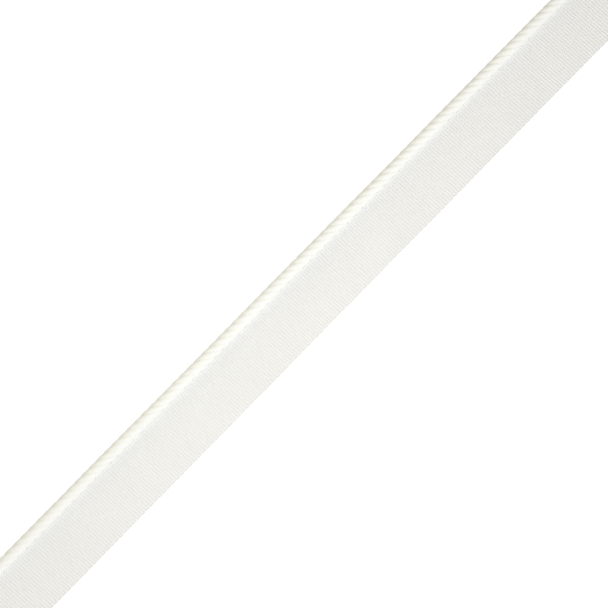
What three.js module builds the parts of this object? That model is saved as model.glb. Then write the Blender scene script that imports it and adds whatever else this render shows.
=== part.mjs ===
// A straight cut length of lip cord trim: a four-ply twisted cord with a flat woven tape, its lip, along one side.
// Millimetres. +X runs along the trim, +Y across it from the lip's selvedge to the cord, and +Z up from the surface
// that it lies on. The origin is under the middle of the trim.
import * as THREE from 'three';

// The whole trim
const trimLength = 260;
const trimWidth = 19.1;
const pieceGap = 0.3; // left between the lip and the cord

// The cord: plies pressed together and laid round each other as a right-handed screw, called a Z twist
const cordRadius = 1.65;
const plyCount = 4;
const plyRadius = 1.2;
const cordTurns = 23; // full turns of the plies in the whole length, so one turn takes about 11.3
const cordSettle = 0.05; // flattened off the plies that touch the surface
const sidesPerTurn = 12; // facets round the cord, and sections along one turn

// The lip: a ribbed tape, flat but for its inner edge, which the cord holds a little off the surface
const lipThickness = 1;
const lipRise = 0.55;
const riseWidth = 1.6;
const riseSteps = 4;
const arcSegments = 6;

const cordY = trimWidth / 2 - cordRadius;
const cordZ = cordRadius - cordSettle;
const cordLay = trimLength / cordTurns;
const selvedgeY = -trimWidth / 2;

const ivoryYarn = new THREE.MeshStandardMaterial({ color: 0xf7f5ea, roughness: 0.75, metalness: 0 });
const ivoryTape = new THREE.MeshStandardMaterial({ color: 0xecebe3, roughness: 0.85, metalness: 0 });

// How far the cord's surface is from its axis, at an angle counted from the crest of a ply.
function cordSurface(angle) {
  const share = (2 * Math.PI) / plyCount;
  const fromCrest = angle - share * Math.round(angle / share);
  const plyOffset = cordRadius - plyRadius;
  const side = plyOffset * Math.sin(fromCrest);
  return plyOffset * Math.cos(fromCrest) + Math.sqrt(plyRadius ** 2 - side ** 2);
}

// A cylinder along X whose facets follow the plies, because each section lies one facet's turn after the last.
function makeTwistedCord() {
  const sections = Math.round(cordTurns * sidesPerTurn);
  const geometry = new THREE.CylinderGeometry(cordRadius, cordRadius, trimLength, sidesPerTurn, sections);
  geometry.rotateZ(-Math.PI / 2);
  const place = geometry.getAttribute('position');
  for (let i = 0; i < place.count; i++) {
    const x = place.getX(i);
    const turned = (2 * Math.PI * (x + trimLength / 2)) / cordLay;
    const angle = Math.atan2(place.getZ(i), place.getY(i));
    const fromAxis = Math.hypot(place.getY(i), place.getZ(i)) / cordRadius;
    const radius = fromAxis * cordSurface(angle - turned);
    const z = cordZ + radius * Math.sin(angle);
    place.setXYZ(i, x, cordY + radius * Math.cos(angle), Math.max(z, 0));
  }
  const cord = new THREE.Mesh(geometry, ivoryYarn);
  cord.name = 'twisted_cord';
  return cord;
}

// Where the lip's inner edge meets the hollow that clears the cord, at one height above the surface.
function hollowAt(height) {
  const clearRadius = cordRadius + pieceGap;
  const y = cordY - Math.sqrt(clearRadius ** 2 - (cordZ - height) ** 2);
  return new THREE.Vector2(y, height);
}

// One face of the lip, from the start of its rise to the hollow: each point's height eases up from the flat.
function risingFace(flatHeight) {
  const end = hollowAt(flatHeight + lipRise);
  const points = [];
  for (let step = 0; step < riseSteps; step++) {
    const along = step / riseSteps;
    const eased = THREE.MathUtils.smoothstep(along, 0, 1);
    points.push(new THREE.Vector2(end.x - riseWidth * (1 - along), flatHeight + lipRise * eased));
  }
  points.push(end);
  return points;
}

// The lip's section: a round selvedge, two flat faces, and an inner edge hollowed to the cord's curve.
function lipSection() {
  const roundRadius = lipThickness / 2;
  const under = risingFace(0);
  const top = risingFace(lipThickness);
  const fromCord = (point) => Math.atan2(point.y - cordZ, point.x - cordY);
  const section = new THREE.Shape();
  section.moveTo(selvedgeY + roundRadius, 0);
  under.forEach((point) => section.lineTo(point.x, point.y));
  section.absarc(cordY, cordZ, cordRadius + pieceGap, fromCord(under.at(-1)), fromCord(top.at(-1)), true);
  top.reverse().forEach((point) => section.lineTo(point.x, point.y));
  section.lineTo(selvedgeY + roundRadius, lipThickness);
  section.absarc(selvedgeY + roundRadius, roundRadius, roundRadius, Math.PI / 2, (3 * Math.PI) / 2, false);
  return section;
}

function makeLipTape() {
  const geometry = new THREE.ExtrudeGeometry(lipSection(), {
    depth: trimLength,
    steps: 1,
    curveSegments: arcSegments,
    bevelEnabled: false,
  });
  const across = new THREE.Vector3(0, 1, 0);
  const up = new THREE.Vector3(0, 0, 1);
  const along = new THREE.Vector3(1, 0, 0);
  geometry.applyMatrix4(new THREE.Matrix4().makeBasis(across, up, along));
  const lip = new THREE.Mesh(geometry, ivoryTape);
  lip.name = 'lip_tape';
  lip.position.x = -trimLength / 2;
  return lip;
}

const lipCordTrim = new THREE.Group();
lipCordTrim.add(makeLipTape(), makeTwistedCord());

export default lipCordTrim;
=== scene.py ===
# A straight cut length of ivory lip cord trim: a four-ply twisted cord along one side of a ribbed tape, its
# lip. Metres. +X runs along the trim, +Y across it from the lip's selvedge to the cord, and +Z up from the
# surface that it lies on.
from math import atan2, ceil, cos, pi, radians, sin, sqrt

import bpy
import numpy as np
from mathutils import Matrix, Vector


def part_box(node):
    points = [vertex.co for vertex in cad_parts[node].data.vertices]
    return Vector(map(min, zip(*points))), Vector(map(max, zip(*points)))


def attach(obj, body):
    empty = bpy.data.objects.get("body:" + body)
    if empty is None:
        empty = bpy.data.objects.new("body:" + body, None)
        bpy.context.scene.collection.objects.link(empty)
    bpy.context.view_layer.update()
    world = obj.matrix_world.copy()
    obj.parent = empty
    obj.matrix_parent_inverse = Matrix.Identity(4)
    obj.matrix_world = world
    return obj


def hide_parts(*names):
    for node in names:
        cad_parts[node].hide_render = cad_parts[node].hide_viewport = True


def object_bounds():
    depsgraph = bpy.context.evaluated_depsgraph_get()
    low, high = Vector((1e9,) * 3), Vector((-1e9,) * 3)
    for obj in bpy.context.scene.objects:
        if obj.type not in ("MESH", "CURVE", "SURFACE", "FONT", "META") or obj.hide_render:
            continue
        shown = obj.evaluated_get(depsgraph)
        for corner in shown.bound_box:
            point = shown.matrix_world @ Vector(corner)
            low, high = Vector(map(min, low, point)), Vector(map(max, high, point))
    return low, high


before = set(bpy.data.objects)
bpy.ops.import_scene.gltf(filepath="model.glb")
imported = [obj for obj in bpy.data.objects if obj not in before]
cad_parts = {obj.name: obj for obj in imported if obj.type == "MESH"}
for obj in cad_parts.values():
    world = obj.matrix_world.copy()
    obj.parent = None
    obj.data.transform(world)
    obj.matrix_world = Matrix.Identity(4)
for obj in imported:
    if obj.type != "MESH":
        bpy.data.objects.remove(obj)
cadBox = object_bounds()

mm = 0.001
scene = bpy.context.scene
chance = np.random.default_rng(11)  # every random amount below is drawn from here

trim = {
    "stray": 0.05 * mm,  # how far it strays from a straight line
    "strayWave": 75 * mm,
    "strayStart": 1.0,
    "samples": 4001,  # places along it where the cord's side is worked out
}
lipLow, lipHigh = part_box("lip_tape")
cordLow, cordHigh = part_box("twisted_cord")
trimLength = cadBox[1].x - cadBox[0].x
lengthwise = np.linspace(-trimLength / 2, trimLength / 2, trim["samples"])
cordRadius = (cordHigh.y - cordLow.y) / 2
cordAxisY = (cordHigh.y + cordLow.y) / 2
cordAxisZ = cordHigh.z - cordRadius
print("frame loaded, trim", round(trimLength / mm), "mm long")


# Meshes

def smoothStep(share):
    share = np.clip(share, 0, 1)
    return share * share * (3 - 2 * share)


def wander(x, amount, wave, start):
    # A slow, uneven drift along the trim: a long wave with a shorter one on it.
    shortShare, shortTurns = 0.3, 2.3
    turn = 2 * pi * x / wave
    long = np.sin(turn + start)
    short = np.sin(shortTurns * turn + 2 * start)
    return amount * ((1 - shortShare) * long + shortShare * short)


def trimStray(x):
    return wander(x, trim["stray"], trim["strayWave"], trim["strayStart"])


def tubeFaces(tubes, rings, sides):  # quads round each tube and one flat face on each of its ends
    ring, side = np.meshgrid(np.arange(rings - 1), np.arange(sides), indexing="ij")
    after = (side + 1) % sides
    quad = np.stack([ring * sides + side, ring * sides + after,
                     (ring + 1) * sides + after, (ring + 1) * sides + side], axis=-1).reshape(-1, 4)
    cap = np.stack([np.arange(sides)[::-1], (rings - 1) * sides + np.arange(sides)])
    first = np.arange(tubes)[:, None, None] * rings * sides
    return (quad[None] + first).reshape(-1, 4), (cap[None] + first).reshape(-1, sides)


def meshFromTubes(name, points, along, paintedLightLevels, turnShares=None, smooth=True):
    # points: tube, ring, side, xyz. along: how far each ring is along its yarn. levels: of the painted
    # shade, 0 deep down where the shade colour is painted in full, 1 on a crest. turnShares: how far round
    # the tube each side is, where they are not even.
    tubes, rings, sides, _ = points.shape
    quads, caps = tubeFaces(tubes, rings, sides)
    corners = np.concatenate([quads.ravel(), caps.ravel()])
    counts = np.concatenate([np.full(len(quads), 4), np.full(len(caps), sides)])
    starts = np.cumsum(counts) - counts
    isQuad = np.arange(len(counts)) < len(quads)
    mesh = bpy.data.meshes.new(name)
    mesh.vertices.add(tubes * rings * sides)
    mesh.vertices.foreach_set("co", points.astype(np.float32).ravel())
    mesh.loops.add(len(corners))
    mesh.loops.foreach_set("vertex_index", corners.astype(np.int32))
    mesh.polygons.add(len(counts))
    mesh.polygons.foreach_set("loop_start", starts.astype(np.int32))
    mesh.update(calc_edges=True)
    mesh.polygons.foreach_set("use_smooth", isQuad & smooth)
    shares = np.arange(sides) / sides if turnShares is None else turnShares
    layYarnMap(mesh, points, shares, along)
    layBakeMap(mesh, points, shares)
    # painted shade: this level mixes each yarn's shade colour into its own colour
    paintedLightLevel = mesh.attributes.new("paintedLightLevel", "FLOAT", "POINT")
    paintedLightLevel.data.foreach_set("value", paintedLightLevels.astype(np.float32).ravel())
    piece = bpy.data.objects.new(name, mesh)
    scene.collection.objects.link(piece)
    return piece


def cornerGrid(points, shares):  # for each quad's corners: their ring, and how far round the tube they are
    ring, side = np.meshgrid(np.arange(points.shape[1] - 1), np.arange(len(shares)), indexing="ij")
    roundTo = np.append(shares, shares[0] + 1)
    turn = roundTo[np.stack([side, side + 1, side + 1, side], axis=-1)]
    return np.stack([ring, ring, ring + 1, ring + 1], axis=-1), turn


def layYarnMap(mesh, points, shares, along):
    # The map runs along the yarn in millimetres, and round it from 0 to 1.
    tubeShift = 10  # from one tube to the next, so that no two look alike
    ringOf, turn = cornerGrid(points, shares)
    u = along[:, ringOf] / mm
    v = turn + tubeShift * np.arange(len(points))[:, None, None, None]
    uv = np.zeros((len(mesh.loops), 2), np.float32)
    uv[:u.size] = np.stack([u, v], axis=-1).reshape(-1, 2)
    mesh.uv_layers.new(name="yarn").data.foreach_set("uv", uv.ravel())


bakeMap = {
    "stripMargin": 0.04,  # share of a strip's width that is left free on each side
    "stripsFrom": 0.01,  # the strips' two ends
    "stripsTo": 0.96,
    "endFaces": 0.98,  # middle of the row of end faces
    "endRadius": 0.008,  # of an end face, where it has room
    "endShare": 0.4,  # radius of an end face in a full row, as a share of its room
}


def layBakeMap(mesh, points, shares):
    # Each tube is cut into strips at one scale, laid side by side over the square, below its end faces.
    tubes, rings, sides, _ = points.shape
    section = points[0, rings // 2]
    girth = np.linalg.norm(np.roll(section, -1, axis=0) - section, axis=1).sum()
    length = np.linalg.norm(np.diff(points[0].mean(axis=1), axis=0), axis=1).sum()
    cuts = max(1, round(sqrt(length / (girth * tubes))))
    ringsEach = ceil((rings - 1) / cuts)
    ringOf, turn = cornerGrid(points, shares)
    strip = ringOf[..., :1] // ringsEach
    number = strip + cuts * np.arange(tubes)[:, None, None, None]
    margin = bakeMap["stripMargin"]
    u = (number + margin + (1 - 2 * margin) * (turn - shares[0])) / (tubes * cuts)
    upStrip = (ringOf - strip * ringsEach) / ringsEach
    v = bakeMap["stripsFrom"] + (bakeMap["stripsTo"] - bakeMap["stripsFrom"]) * upStrip
    uv = np.zeros((len(mesh.loops), 2), np.float32)
    uv[:u.size] = np.stack([u, np.broadcast_to(v, u.shape)], axis=-1).reshape(-1, 2)

    room = 1 / (2 * tubes)
    radius = min(bakeMap["endRadius"], bakeMap["endShare"] * room)
    angle = 2 * pi * np.arange(sides) / sides
    endU = (np.arange(2 * tubes)[:, None] + 0.5) * room + radius * np.cos(angle)
    endV = np.broadcast_to(bakeMap["endFaces"] + radius * np.sin(angle), endU.shape)
    uv[u.size:] = np.stack([endU, endV], axis=-1).reshape(-1, 2)
    mesh.uv_layers.new(name="OFBake").data.foreach_set("uv", uv.ravel())


def pieceOf(node, piece, material):  # hangs the piece on the root, hides the node's frame part, and gives it the material
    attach(piece, "root")
    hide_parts(node)
    piece.data.materials.append(material)
    return piece


# Shader maths

class Wire:  # a socket in a material, with the sums that are done on it
    def __init__(self, tree, socket=None):
        self.tree = tree
        self.socket = socket

    def node(self, kind, settings=None, sockets=None, output=0):
        made = self.tree.nodes.new(kind)
        for name, value in (settings or {}).items():
            setattr(made, name, value)
        for name, value in (sockets or {}).items():
            if isinstance(value, Wire):
                self.tree.links.new(value.socket, made.inputs[name])
            else:
                made.inputs[name].default_value = value
        return Wire(self.tree, made.outputs[output] if made.outputs else None)

    def isVector(self):
        return self.socket.type in ("VECTOR", "RGBA")

    def sum(self, operation, first, second):
        wide = any(isinstance(side, Wire) and side.isVector() for side in (first, second))
        kind = "ShaderNodeVectorMath" if wide else "ShaderNodeMath"
        if wide:
            first, second = [(s, s, s) if isinstance(s, (int, float)) else s for s in (first, second)]
        return self.node(kind, {"operation": operation}, {0: first, 1: second})

    def __add__(self, other):
        return self.sum("ADD", self, other)

    def __radd__(self, other):
        return self.sum("ADD", other, self)

    def __sub__(self, other):
        return self.sum("SUBTRACT", self, other)

    def __rsub__(self, other):
        return self.sum("SUBTRACT", other, self)

    def __mul__(self, other):
        return self.sum("MULTIPLY", self, other)

    def __rmul__(self, other):
        return self.sum("MULTIPLY", other, self)

    def __truediv__(self, other):
        return self.sum("DIVIDE", self, other)

    def __rtruediv__(self, other):
        return self.sum("DIVIDE", other, self)


def axisOf(vector, axis):
    return vector.node("ShaderNodeSeparateXYZ", {}, {0: vector}, output=axis)


def noise(place, scale, detail, roughness=0.5):
    sockets = {"Vector": place, "Scale": scale, "Detail": detail, "Roughness": roughness}
    return place.node("ShaderNodeTexNoise", {}, sockets)


def bump(height, strength, distance):
    return height.node("ShaderNodeBump", {}, {"Strength": strength, "Distance": distance, "Height": height})


def mixColour(share, first, second):
    rgba = [(*c, 1) if isinstance(c, tuple) else c for c in (first, second)]
    sockets = {0: share, 6: rgba[0], 7: rgba[1]}  # 6 and 7 take the two colours, and output 2 gives the mix
    return share.node("ShaderNodeMix", {"data_type": "RGBA", "clamp_factor": True}, sockets, output=2)


def newMaterial(name):
    material = bpy.data.materials.new(name)
    material.use_nodes = True
    material.node_tree.nodes.clear()
    return material, Wire(material.node_tree)


def finishMaterial(wire, colour, roughness, normal, constants):
    sockets = {"Base Color": colour, "Roughness": roughness, "Normal": normal, **constants}
    surface = wire.node("ShaderNodeBsdfPrincipled", {}, sockets)
    wire.node("ShaderNodeOutputMaterial", {}, {"Surface": surface})


yarnLook = {
    "tapeColour": (0.848, 0.848, 0.851),
    "tapePaintedShade": (0.78, 0.77, 0.75),  # painted shade: on the selvedge, and half as much down between the floats
    "cordColour": (0.894, 0.901, 0.880),
    "cordPaintedShade": (0.886, 0.880, 0.838),  # painted shade, warmer: down in the grooves between the plies
    "warpFilaments": (22, 0.2),  # round a yarn, and along a millimetre of it
    "weftFilaments": (1, 11),
    "cordFilaments": (56, 2.4),
    "stitchFilaments": (8, 2.0),
    "filamentStray": 1.2,  # of a filament to its sides, in filaments
    "fibreAlong": 0.35,  # how fast the loose fibres change along the yarn, and from filament to filament
    "fibreAcross": 0.5,
    "fibreScale": 2.0,
    "fibreDetail": 3.0,
    "fibreRoughness": 0.6,
    "patchScale": 60.0,
    "patchDetail": 2.0,
    "patchTone": 0.04,  # share by which the tone changes from patch to patch
    "fibreTone": 0.04,
    "filamentTone": 0.03,
    "fuzz": 0.03 * mm,  # depth of the filaments
    "bump": 0.7,
    "roughness": 0.82,
    "roughnessRange": 0.15,
    "shader": {"Specular IOR Level": 0.25, "Sheen Weight": 0.08, "Sheen Roughness": 0.5},
}
speck = {
    "place": (-11.9 * mm, 1.9 * mm, 1.0 * mm),
    "radius": 0.5 * mm,
    "edge": 1.6,  # above 1, its middle is even and its edge is sharper
    "colour": (0.86, 0.83, 0.70),
}


def yarnMaterial(name, colour, paintedShade, filaments, speckled=False):
    # Ivory yarn: filaments round and along it, loose fibres, uneven tone, and a warmer painted shade deep
    # down.
    material, wire = newMaterial(name)
    place = wire.node("ShaderNodeUVMap", {"uv_map": "yarn"})
    along = axisOf(place, 0)
    around = axisOf(place, 1)
    paintedLightLevel = wire.node("ShaderNodeAttribute", {"attribute_name": "paintedLightLevel"}, output=2)
    where = wire.node("ShaderNodeTexCoord", output=3)

    filamentsRound, filamentsPerMm = filaments
    lane = around * filamentsRound + along * filamentsPerMm
    stretched = wire.node("ShaderNodeCombineXYZ", {}, {
        0: along * yarnLook["fibreAlong"], 1: lane * yarnLook["fibreAcross"]})
    fibre = noise(stretched, yarnLook["fibreScale"], yarnLook["fibreDetail"], yarnLook["fibreRoughness"])
    wavy = lane + fibre * yarnLook["filamentStray"]
    filament = wire.node("ShaderNodeMath", {"operation": "SINE"}, {0: wavy * (2 * pi)}) * 0.5 + 0.5
    patch = noise(where, yarnLook["patchScale"], yarnLook["patchDetail"])

    uneven = (patch - 0.5) * yarnLook["patchTone"] + (fibre - 0.5) * yarnLook["fibreTone"]
    uneven = uneven + (filament - 0.5) * yarnLook["filamentTone"]
    # painted shade: the shade colour deep down, the yarn's own colour on the crests
    tone = mixColour(paintedLightLevel, paintedShade, colour) * (uneven + 1.0)
    if speckled:
        away = wire.node("ShaderNodeVectorMath", {"operation": "DISTANCE"},
                         {0: where, 1: speck["place"]}, output=1)
        tone = mixColour((1 - away / speck["radius"]) * speck["edge"], tone, speck["colour"])
    rough = (fibre - 0.5) * yarnLook["roughnessRange"] + yarnLook["roughness"]
    normal = bump(filament * 0.5 + fibre * 0.5, yarnLook["bump"], yarnLook["fuzz"])
    finishMaterial(wire, tone, rough, normal, yarnLook["shader"])
    return material


def tapeYarn(name, filaments):
    return yarnMaterial(name, yarnLook["tapeColour"], yarnLook["tapePaintedShade"], filaments, speckled=True)


tapeWarp = tapeYarn("ivory_tape_warp", yarnLook["warpFilaments"])
tapeWeft = tapeYarn("ivory_tape_weft", yarnLook["weftFilaments"])
cordYarn = yarnMaterial("ivory_cord_yarn", yarnLook["cordColour"], yarnLook["cordPaintedShade"],
                        yarnLook["cordFilaments"])
stitchYarn = yarnMaterial("ivory_stitch_yarn", yarnLook["cordColour"], yarnLook["cordPaintedShade"],
                          yarnLook["stitchFilaments"])
print("materials made")


# The cord: four plies laid round each other, each of yarns that wind the other way

cord = {
    "plies": 4,
    "turns": 23,
    "plyOffset": 0.45 * mm,  # of a ply's middle from the cord's axis
    "plyRadius": 1.20 * mm,
    "twistStray": 0.12,  # how far the twist runs ahead and behind, as an angle
    "twistWave": 61 * mm,
    "twistStart": 0.4,
    "plyStray": 0.03,  # how far a ply strays from its place, as an angle round the cord
    "plyWave": 23 * mm,
    "plyStart": 1.7,  # of a ply's wave, after the last ply's
    "yarns": 8,  # in a ply
    "yarnTurns": 1.5,  # turns that a ply's yarns make in it, the other way, in one turn of the plies
    "yarnStart": 2.1,  # of a ply's yarns, after the last ply's
    "yarnDepth": 0.05 * mm,
    "yarnFlatness": 1.5,  # above 1, the yarns are flatter and the dips between them narrower
    "yarnPaintedShade": 0.1,  # share by which the dips between yarns get the painted shade of deep ones
    "overlap": 0.03,  # of one ply's section with the next, as an angle round the cord
    "innerPoint": 0.05 * mm,  # of a ply's section, from the cord's axis
    "ragged": 0.3 * mm,  # how far each ply is cut shorter
    "outerSides": 26,
    "ringsPerTurn": 32,
}


def fromAxisToSurface(fromCrest):  # of the cord, at an angle from a ply's crest
    aside = cord["plyOffset"] * np.sin(fromCrest)
    return cord["plyOffset"] * np.cos(fromCrest) + np.sqrt(cord["plyRadius"] ** 2 - aside ** 2)


def plyTwist(x):  # how far the plies have turned at x
    even = 2 * pi * cord["turns"] * (x + trimLength / 2) / trimLength
    return even + wander(x, cord["twistStray"], cord["twistWave"], cord["twistStart"])


def plySection():
    # A round outer side between two corners, where the next plies press against it, and an inner point. This
    # gives their angles round the ply's middle, and how far the corners are from the cord's axis.
    half = pi / cord["plies"] + cord["overlap"]
    groove = fromAxisToSurface(half)
    corner = atan2(groove * sin(half), groove * cos(half) - cord["plyOffset"])
    return np.append(np.linspace(-corner, corner, cord["outerSides"] + 1), pi), groove


def makePly(number):
    x = np.linspace(-trimLength / 2, trimLength / 2, cord["turns"] * cord["ringsPerTurn"] + 1)
    x[0] += chance.uniform(0, cord["ragged"])
    x[-1] -= chance.uniform(0, cord["ragged"])
    turned = plyTwist(x)
    stray = wander(x, cord["plyStray"], cord["plyWave"], cord["plyStart"] * number)
    plyTurn = (turned + 2 * pi * number / cord["plies"] + stray)[:, None]
    around, groove = plySection()
    yarnTurn = cord["yarns"] * (around + cord["yarnTurns"] * turned[:, None]) + cord["yarnStart"] * number
    ridge = np.abs(np.cos(yarnTurn / 2))  # 1 on a yarn, 0 between two
    radius = cord["plyRadius"] - cord["yarnDepth"] * (1 - ridge) ** cord["yarnFlatness"]
    radius[:, -1] = cord["plyOffset"] - cord["innerPoint"]
    outward = cord["plyOffset"] + radius * np.cos(around)
    aside = radius * np.sin(around)
    y = cordAxisY + outward * np.cos(plyTurn) - aside * np.sin(plyTurn) + trimStray(x)[:, None]
    z = np.maximum(cordAxisZ + outward * np.sin(plyTurn) + aside * np.cos(plyTurn), 0)
    points = np.stack([np.broadcast_to(x[:, None], y.shape), y, z], axis=-1)[None]
    # painted shade: darker and warmer the deeper a point lies in a groove between plies, and a little
    # between yarns
    depth = np.maximum(cordRadius - np.hypot(outward, aside), 0) / (cordRadius - groove)
    paintedLightLevel = (1 - smoothStep(depth)) * (1 - cord["yarnPaintedShade"] * (1 - ridge))
    ply = meshFromTubes(f"cord_ply_{number + 1}", points, x[None], paintedLightLevel[None], around / (2 * pi))
    pieceOf("twisted_cord", ply, cordYarn)


for number in range(cord["plies"]):
    makePly(number)
print("cord laid")


# The lip: a ribbed ground with warp ends woven over and under its ribs

tape = {
    "ribPitch": 0.828 * mm,
    "ribDrift": 0.62 * mm,  # how far the ribs gain and lose on an even pitch
    "driftWave": 260 * mm,
    "driftStart": 20 * mm,
    "skew": 0.051,  # the ribs lean this much towards +X on their way to the selvedge
    "rise": 0.55 * mm,  # the inner edge is lifted by the cord
    "riseWidth": 1.6 * mm,
    "meetsCord": radians(5),  # how far under the cord's widest point the inner edge meets it
    "tuck": 0.14 * mm,  # pressed into the cord's soft yarn
    "follows": 0.7 * mm,  # how far from the cord the tape still follows its plies
    "opensFrom": -0.3,  # trim lengths from its middle, where the weave starts to open towards the +X end
    "deepen": 0.125 * mm,  # how much deeper the dips between ribs are where it is open
    "nip": 0.04,  # share by which the warp ends are narrower there
}
ends = {
    "count": 42,
    "height": 0.20 * mm,
    "floatWidth": 0.806 * mm,  # spread out over a rib
    "boundWidth": 0.39 * mm,  # nipped between two ribs
    "uneven": 0.01,  # share by which the floats' widths vary
    "ragged": 0.2 * mm,  # how far each end is cut longer or shorter
    "ringPlaces": (-0.40, -0.20, 0.20, 0.40),  # of the sections over a rib, in ribs from its crest
    "ringHeights": (0.76, 1.0, 1.0, 0.76),
    "ringSpread": (0.9, 1.0, 1.0, 0.9),  # from boundWidth, 0, to floatWidth, 1
    "shoulder": 0.88,  # share of an end's width that is flat on top
    "lowLevel": 0.5,  # painted shade level of an end where it passes through the tape
    "sidePaintedShade": 0.2,  # share of the level lost to painted shade on an end's sides
    "sideFade": 6,  # the higher, the closer the painted shade keeps to the sides
    "perPiece": 11,
}
ground = {
    "rib": 0.37 * mm,  # half its height on a rib
    "dip": 0.335 * mm,  # half its height between two ribs
    "paintedLightLevel": (0.45, 0.75),  # painted shade levels: between two ribs and on one
    "edgeHeight": 0.40 * mm,  # half the height of the weft's turns along the edges
    "edgeDip": 0.08,  # share by which they are lower between two ribs
    "edgeBump": 0.02 * mm,  # how far the selvedge draws in between two ribs
    "selvedgeWidth": 0.26 * mm,
    # its rows: distance from the selvedge in selvedge widths, share of half its height, share of edgeHeight
    "selvedgeRows": [(0, 0, 0), (0.12, 0, 0.5), (0.4, 0, 0.9), (0.7, 0, 1), (1.15, 0.6, 0.4), (1.6, 1, 0)],
    "middleRow": 7 * mm,  # from the selvedge
    # its rows: distance from the inner edge in millimetres, and the same two shares
    "innerRows": [(2.2, 1, 0), (1.5, 1, 0), (1.0, 1, 0), (0.7, 1, 0),
                  (0.5, 0.6, 0.4), (0.3, 0, 1), (0, 0, 1)],
    "cuts": 5,  # sections in a rib
}
tapeThickness = lipHigh.z - tape["rise"]
selvedgeY = lipLow.y


def cordFlank(x):  # y of the cord's surface where the lip's inner edge meets it, on a straight trim
    angle = pi + tape["meetsCord"]
    share = 2 * pi / cord["plies"]
    fromCrest = angle - plyTwist(x)
    fromCrest = fromCrest - share * np.round(fromCrest / share)
    return cordAxisY + fromAxisToSurface(fromCrest) * cos(angle)


innerY = float(cordFlank(lengthwise).mean()) + tape["tuck"]
ribCount = int((trimLength - 2 * tape["skew"] * (innerY - selvedgeY)) / tape["ribPitch"])


def besideCord(x, y):  # y, moved with the bulges and hollows of the plies as far as the cord is near
    return y + (cordFlank(x) + tape["tuck"] - innerY) * np.exp((y - innerY) / tape["follows"])


def ribAlong(rib, y):  # where a rib, counted from the first, crosses the tape at y
    even = (rib - ribCount / 2) * tape["ribPitch"]
    drift = tape["ribDrift"] * np.sin(2 * pi * (even - tape["driftStart"]) / tape["driftWave"])
    return even + drift - tape["skew"] * (y - (selvedgeY + innerY) / 2)


def opened(x):  # 0 to 1: how far the weave has opened
    return smoothStep(x / trimLength - tape["opensFrom"])


def tapeMiddle(y):  # height of the tape's middle layer
    return tapeThickness / 2 + tape["rise"] * smoothStep((y - innerY) / tape["riseWidth"] + 1)


def groundRows():  # each row's y and its two shares, from the selvedge to the inner edge
    wide = ground["selvedgeWidth"]
    rows = [(selvedgeY + wide * away, *shares) for away, *shares in ground["selvedgeRows"]]
    rows.append((selvedgeY + ground["middleRow"], 1, 0))
    rows += [(innerY - mm * away, *shares) for away, *shares in ground["innerRows"]]
    return np.array(rows).T


def makeGround():
    # The weft, packed into ribs, as one closed sheet. Along the selvedge it turns back round the last end.
    rib = np.linspace(0, ribCount, ribCount * ground["cuts"] + 1)
    y, groundShare, edgeShare = [np.append(row, row[:0:-1]) for row in groundRows()]
    upOrDown = np.where(np.arange(len(y)) <= len(y) // 2, 1, -1)
    isEdge = groundShare < 1
    isSelvedge = isEdge & (y < (selvedgeY + innerY) / 2)
    ribGrid, yGrid = np.meshgrid(rib, y, indexing="ij")
    crest = np.sin(pi * ribGrid) ** 2
    x = ribAlong(ribGrid, yGrid)
    dip = ground["dip"] - tape["deepen"] * opened(x)
    half = groundShare * (dip + (ground["rib"] - dip) * crest)
    half = half + edgeShare * ground["edgeHeight"] * (1 - ground["edgeDip"] * (1 - crest))
    z = tapeMiddle(yGrid) + upOrDown * half
    y = besideCord(x, yGrid) + ground["edgeBump"] * (1 - crest) * isSelvedge + trimStray(x)
    # painted shade: darkest on the selvedge, darker between two ribs than on one, none along the inner edge
    dipLevel, ribLevel = ground["paintedLightLevel"]
    paintedLightLevel = np.where(isSelvedge, 0, np.where(isEdge, 1, dipLevel + (ribLevel - dipLevel) * crest))
    points = np.stack([x, y, z], axis=-1)[None, :, ::-1]
    sheet = meshFromTubes("ribbed_ground", points, x[None, :, 0], paintedLightLevel[None, :, ::-1])
    return pieceOf("lip_tape", sheet, tapeWeft)


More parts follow.
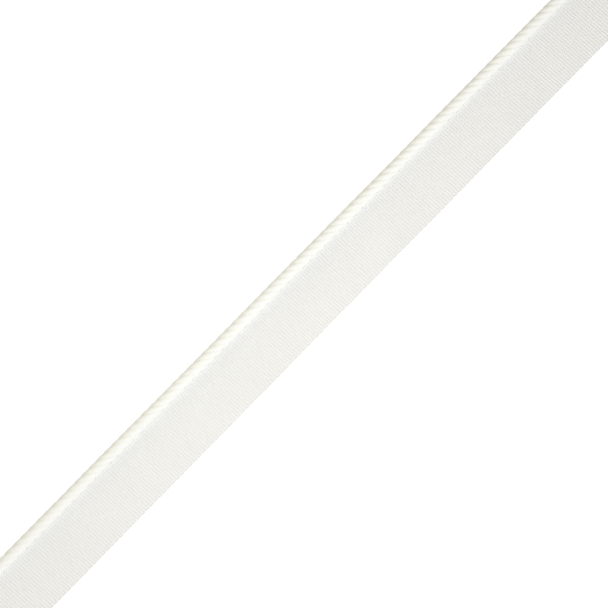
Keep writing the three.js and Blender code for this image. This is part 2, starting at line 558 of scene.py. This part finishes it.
def makeWarpEnds(first, number):
    # Each end lies over one rib and under the next, and its neighbours do the opposite.
    end = np.arange(first, min(first + ends["perPiece"], ends["count"]))[:, None]
    ribs = np.arange(ribCount)
    rib = (ribs[:, None] + 0.5 + np.array(ends["ringPlaces"])).ravel()
    bound = ends["boundWidth"]
    firstY = selvedgeY + ground["selvedgeWidth"] + bound / 2
    lastY = innerY - bound / 2
    endY = firstY + (lastY - firstY) * end / (ends["count"] - 1)
    x = ribAlong(rib, endY)

    uneven = 1 + ends["uneven"] * chance.standard_normal((len(end), ribCount, 1))
    ringWidth = bound + (ends["floatWidth"] - bound) * np.array(ends["ringSpread"])
    halfWidth = (uneven * ringWidth).reshape(x.shape) / 2 * (1 - tape["nip"] * opened(x))
    reach = (tapeThickness - ends["height"]) / 2
    height = np.tile(ends["ringHeights"], ribCount)
    height = height - (height < 1) * tape["deepen"] / reach * opened(x)
    overOrUnder = np.repeat(np.where((ribs + end) % 2 == 0, 1, -1), len(ends["ringPlaces"]), axis=1)
    x[:, [0, -1]] += chance.uniform(-1, 1, (len(end), 2)) * ends["ragged"]
    y = besideCord(x, endY) + trimStray(x)
    z = tapeMiddle(endY) + reach * height * overOrUnder

    flat = ends["shoulder"]
    sectionY, sectionZ = np.array([(1, 0), (flat, 1), (-flat, 1), (-1, 0), (-flat, -1), (flat, -1)]).T
    y = y[..., None] + halfWidth[..., None] * sectionY
    z = z[..., None] + ends["height"] / 2 * sectionZ
    points = np.stack([np.broadcast_to(x[..., None], y.shape), y, z], axis=-1)
    # painted shade: darker on an end's sides, and where it passes down through the tape
    sidePaintedShade = 1 - ends["sidePaintedShade"] * np.abs(sectionY) ** ends["sideFade"]
    paintedLightLevel = ends["lowLevel"] + (1 - ends["lowLevel"]) * height[..., None] * sidePaintedShade
    piece = meshFromTubes(f"warp_ends_{number}", points, x, paintedLightLevel, smooth=False)
    return pieceOf("lip_tape", piece, tapeWarp)


groundSheet = makeGround()
warpPieces = []
for first in range(0, ends["count"], ends["perPiece"]):
    warpPieces.append(makeWarpEnds(first, len(warpPieces) + 1))
print("lip woven:", ribCount, "ribs,", ends["count"], "ends")


# The yarn that fastens the cord to the lip: a stitch over the lip's inner edge into each groove of the cord

fastening = {
    "radius": 0.11 * mm,
    "sides": 6,
    "steps": 3,  # between two points of a stitch
    "stray": 0.05 * mm,  # of each point, along the trim
    "room": (0.8 * mm, 1.4 * mm),  # kept from the first and the last groove to the trim's ends
    # a stitch's points in order, in millimetres: along the trim from its groove, across it from the lip's
    # inner edge, and up from the lip's face
    "stitch": [(-0.62, -0.95, -0.35), (-0.50, -0.80, -0.08), (-0.15, -0.42, 0.02), (0.15, -0.05, 0.0),
               (0.40, 0.25, -0.22), (0.62, 0.30, -0.55), (1.25, -0.35, -0.60)],
}


def smoothPath(points, steps):  # a curve through the points, with steps between each two
    padded = np.concatenate([points[:1], points, points[-1:]])
    before, start, end, after = [padded[i:len(points) - 1 + i, None] for i in range(4)]
    share = (np.arange(steps) / steps)[:, None]
    slope = (end - before) / 2
    bend = before - 2.5 * start + 2 * end - after / 2
    swerve = (3 * (start - end) + after - before) / 2
    curve = start + share * slope + share ** 2 * bend + share ** 3 * swerve
    return np.concatenate([curve.reshape(-1, 3), points[-1:]])


def tubeAlong(path, radius, sides):
    # Rings square to the path, each turned as little as possible from the last.
    ahead = np.gradient(path, axis=0)
    ahead /= np.linalg.norm(ahead, axis=1)[:, None]
    outward = np.empty_like(path)
    outward[0] = np.cross(ahead[0], (0, 1, 0))
    for i in range(1, len(path)):
        outward[i] = outward[i - 1] - ahead[i] * outward[i - 1].dot(ahead[i])
        outward[i] /= np.linalg.norm(outward[i])
    beside = np.cross(ahead, outward)
    angle = (2 * pi * np.arange(sides) / sides)[:, None]
    return path[:, None] + radius * (outward[:, None] * np.cos(angle) + beside[:, None] * np.sin(angle))


def grooveRow():  # x of the grooves between two plies, where they meet the lip's inner edge
    share = 2 * pi / cord["plies"]
    twist = plyTwist(lengthwise)
    firstGroove = (pi + tape["meetsCord"] + share / 2) % share
    grooves = np.interp(np.arange(firstGroove, twist[-1], share), twist, lengthwise)
    before, after = fastening["room"]
    return grooves[(grooves > lengthwise[0] + before) & (grooves < lengthwise[-1] - after)]


def makeFastening():
    grooves = grooveRow()[:, None]
    along, across, up = np.array(fastening["stitch"]).T * mm
    x = grooves + along + chance.uniform(-1, 1, (len(grooves), len(along))) * fastening["stray"]
    y = cordFlank(grooves) + tape["tuck"] + across + trimStray(x)
    z = np.broadcast_to(tapeMiddle(innerY + across) + tapeThickness / 2 + up, x.shape)
    path = smoothPath(np.stack([x, y, z], axis=-1).reshape(-1, 3), fastening["steps"])
    points = tubeAlong(path, fastening["radius"], fastening["sides"])[None]
    steps = np.linalg.norm(np.diff(path, axis=0), axis=1)
    yarnLength = np.append(0, np.cumsum(steps))
    yarn = meshFromTubes("fastening_yarn", points, yarnLength[None], np.ones(points.shape[:3]))
    pieceOf("twisted_cord", yarn, stitchYarn)


makeFastening()
print("cord fastened to the lip")


# Floor, light and camera

studio = {
    "sky": 0.83,
    "skyColour": (1.0, 1.0, 1.0),
    "cordSideColour": (0.92, 0.86, 0.66),  # of the sky half way up on the cord's side
    "floorColour": (0.93, 0.93, 0.93),
    "floorGlow": 0.46,
    "floorDrop": 0.02 * mm,  # under what lies on it
    "boardColour": (0.62, 0.61, 0.59),
    "boardDrop": 0.05 * mm,
    "boardReach": 1.2,  # from its middle to each side
    "grainScale": 400.0,
    "grainDetail": 2.0,
    "grainTone": 0.98,  # of the grain's darkest spots, as a share of the colour
    "grainBump": 0.05,
    "grainDepth": 0.01 * mm,
    "boardRoughness": 0.9,
    "boardGloss": 0.1,
    "lampSize": 0.08,
    "lamps": {
        "key": {"power": 0.249, "place": (-0.005, -0.170, 0.203), "colour": (0.98, 1.0, 0.985)},
        "fill": {"power": 0.019, "place": (-0.035, 0.12, 0.045), "colour": (1.0, 0.97, 0.88)},
    },
}


def boardMaterial(name, colour, glow):  # matt board with a faint grain
    material, wire = newMaterial(name)
    where = wire.node("ShaderNodeTexCoord", output=3)
    grain = noise(where, studio["grainScale"], studio["grainDetail"])
    tone = mixColour(grain, tuple(studio["grainTone"] * c for c in colour), colour)
    normal = bump(grain, studio["grainBump"], studio["grainDepth"])
    constants = {"Specular IOR Level": studio["boardGloss"],
                 "Emission Color": (1, 1, 1, 1), "Emission Strength": glow}
    finishMaterial(wire, tone, studio["boardRoughness"], normal, constants)
    return material


def makeBoard(name, drop, material):
    far = studio["boardReach"]
    corners = [(-far, -far, -drop), (far, -far, -drop), (far, far, -drop), (-far, far, -drop)]
    mesh = bpy.data.meshes.new(name)
    mesh.from_pydata(corners, [], [(0, 1, 2, 3)])
    mesh.materials.append(material)
    board = bpy.data.objects.new(name, mesh)
    scene.collection.objects.link(board)
    return board


def makeFloor():
    # The camera sees a floor that glows white. Just under it a greyer board, which the camera doesn't see,
    # throws the light back in the floor's place.
    white = boardMaterial("pale_floor", studio["floorColour"], studio["floorGlow"])
    floor = makeBoard("floor", studio["floorDrop"], white)
    floor.visible_diffuse = False
    grey = boardMaterial("grey_board", studio["boardColour"], 0.0)
    board = makeBoard("bounce_board", studio["boardDrop"], grey)
    board.visible_camera = False


def addLamp(name, look):  # a soft lamp that shines straight across on the trim
    light = bpy.data.lights.new(name, "AREA")
    light.shape = "DISK"
    light.size = studio["lampSize"]
    light.energy = look["power"]
    light.color = look["colour"]
    place = Vector(look["place"])
    towards = Vector((place.x, 0, 0)) - place
    lamp = bpy.data.objects.new(name, light)
    lamp.location = place
    lamp.rotation_euler = towards.to_track_quat("-Z", "Y").to_euler()
    lamp.visible_camera = False
    scene.collection.objects.link(lamp)


def makeSky():  # even and white, but for a warmer stretch half way up on the cord's side
    world = bpy.data.worlds.new("soft_sky")
    scene.world = world
    world.use_nodes = True
    world.node_tree.nodes.clear()
    wire = Wire(world.node_tree)
    direction = wire.node("ShaderNodeTexCoord")
    halfWayUp = axisOf(direction, 1) * axisOf(direction, 2) * 2.0  # 0 overhead and at the horizon
    colour = mixColour(halfWayUp, studio["skyColour"], studio["cordSideColour"])
    light = wire.node("ShaderNodeBackground", {}, {"Color": colour, "Strength": studio["sky"]})
    wire.node("ShaderNodeOutputWorld", {}, {"Surface": light})


view = {
    "axisAngle": radians(45.49),  # of the trim's length in the picture, up from the horizontal
    "tilt": radians(5.66),  # the camera stands a little towards the trim's -X end
    "target": Vector((0, -0.69 * mm, 0)),
    "distance": 600 * mm,
    "pictureWidth": 163.4 * mm,  # taken in at the target
    "sensor": 36.0,
    "clip": (0.01, 10),  # the nearest and the farthest that it sees
}


def makeCamera():
    tilt, angle = view["tilt"], view["axisAngle"]
    back = Vector((-sin(tilt), 0, cos(tilt)))
    along = Vector((cos(tilt), 0, sin(tilt)))
    across = Vector((0, 1, 0))
    right = along * cos(angle) - across * sin(angle)
    up = along * sin(angle) + across * cos(angle)
    camera = bpy.data.objects.new("camera", bpy.data.cameras.new("camera"))
    camera.data.sensor_width = view["sensor"]
    camera.data.lens = view["sensor"] * view["distance"] / view["pictureWidth"]
    camera.data.clip_start, camera.data.clip_end = view["clip"]
    camera.matrix_world = Matrix((right, up, back)).transposed().to_4x4()
    camera.location = view["target"] + back * view["distance"]
    scene.collection.objects.link(camera)
    scene.camera = camera


scene.view_settings.view_transform = "Standard"
makeFloor()
makeSky()
for name, look in studio["lamps"].items():
    addLamp(name, look)
makeCamera()
print("floor, light and camera placed")
